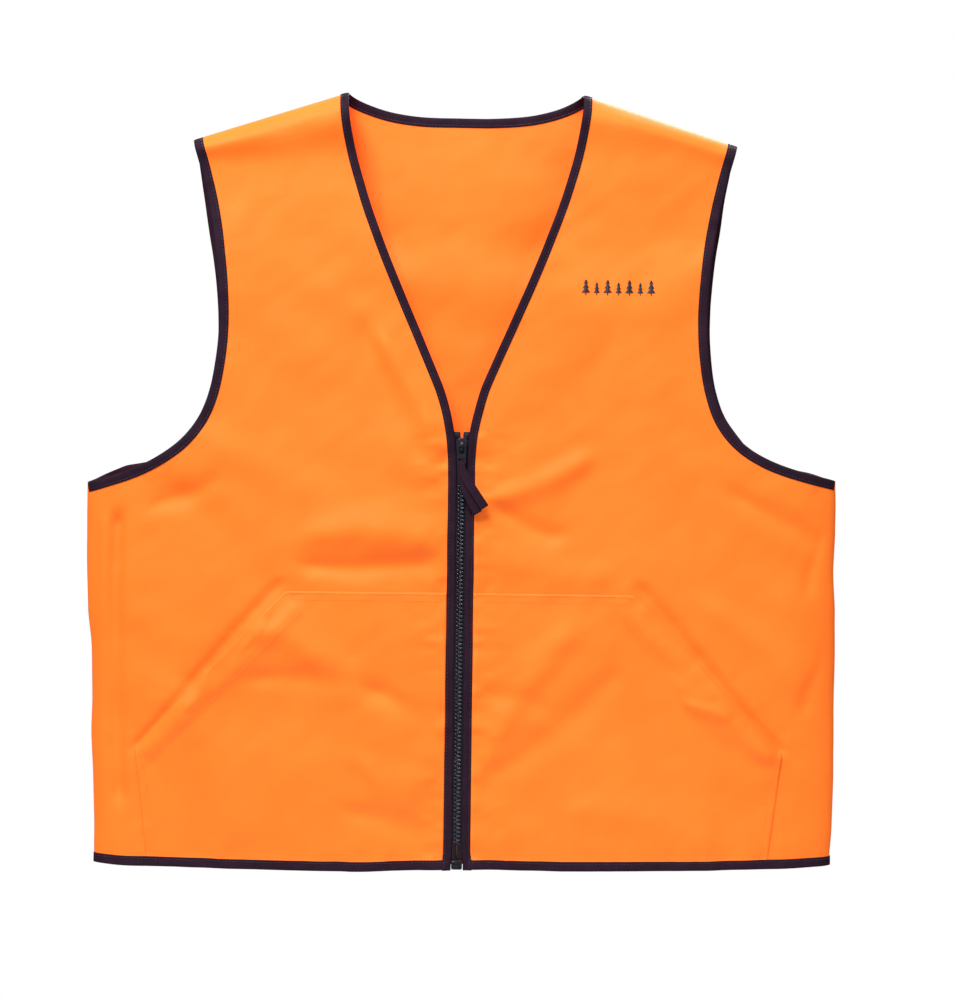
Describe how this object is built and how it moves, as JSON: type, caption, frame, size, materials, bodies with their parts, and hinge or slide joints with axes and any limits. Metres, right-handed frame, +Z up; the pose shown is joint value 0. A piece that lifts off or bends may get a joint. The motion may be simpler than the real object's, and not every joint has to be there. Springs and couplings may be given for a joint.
{
  "type": "hunting safety vest",
  "caption": "Blaze orange sleeveless zip vest with a V-neck, dark bound edges and slanted patch pockets, hanging closed.",
  "frame": {"origin": "middle of the back neckline, on the mid-plane between fronts and back, where a hanger holds the vest", "axes": "+Z up, fronts face -Y, +X towards the wearer's left"},
  "size_m": [0.6676, 0.0446, 0.685],
  "materials": {
    "orange_cloth": "plain woven polyester, matt with a soft sheen, slightly fluorescent",
    "binding": "folded twill binding, matt",
    "zip_tape": "herringbone woven tape, matt",
    "moulded_teeth": "satin moulded plastic",
    "slider_metal": "satin black enamel, worn a little at the edges",
    "thread": "glossy satin-stitch embroidery thread"
  },
  "bodies": {
    "back": {"back_panel": "orange_cloth", "front_right_side": "orange_cloth", "front_left_side": "orange_cloth", "neck_binding_back": "binding", "hem_binding_back": "binding", "armhole_binding_right": "binding", "armhole_binding_left": "binding"},
    "front_right": {"front_right_panel": "orange_cloth", "pocket_right": "orange_cloth", "front_edge_binding_right": "binding", "hem_binding_front_right": "binding", "zipper_tape_right": "zip_tape", "zipper_teeth_right": "moulded_teeth", "zipper_top_stop_right": "moulded_teeth", "zipper_insertion_pin": "moulded_teeth"},
    "front_left": {"front_left_panel": "orange_cloth", "pocket_left": "orange_cloth", "front_edge_binding_left": "binding", "hem_binding_front_left": "binding", "zipper_tape_left": "zip_tape", "zipper_teeth_left": "moulded_teeth", "zipper_top_stop_left": "moulded_teeth", "zipper_box_pin": "moulded_teeth", "zipper_retainer_box": "moulded_teeth", "chest_embroidery": "thread"},
    "slider": {"zipper_slider_body": "slider_metal"},
    "puller": {"zipper_puller": "slider_metal"},
    "ribbon": {"zipper_pull_ribbon": "binding"}
  },
  "joints": [
    {"name": "front_right_opens", "type": "hinge", "parent": "back", "child": "front_right", "pos_m": [-0.322, -0.0176, -0.6685], "axis": [-0.2706, 0, -0.9627], "range_deg": [0, 120]},
    {"name": "front_left_opens", "type": "hinge", "parent": "back", "child": "front_left", "pos_m": [0.322, -0.0176, -0.6685], "axis": [-0.2706, 0, 0.9627], "range_deg": [0, 120]},
    {"name": "slider_runs_down_the_zip", "type": "slide", "parent": "front_left", "child": "slider", "axis": [0, 0, -1], "range_m": [0, 0.356]},
    {"name": "puller_lifts", "type": "hinge", "parent": "slider", "child": "puller", "pos_m": [0, -0.0216, -0.295], "axis": [-1, 0, 0], "range_deg": [0, 135]},
    {"name": "ribbon_swings_on_puller", "type": "hinge", "parent": "puller", "child": "ribbon", "pos_m": [0, -0.0216, -0.30995], "axis": [-1, 0, 0], "range_deg": [0, 45]}
  ]
}
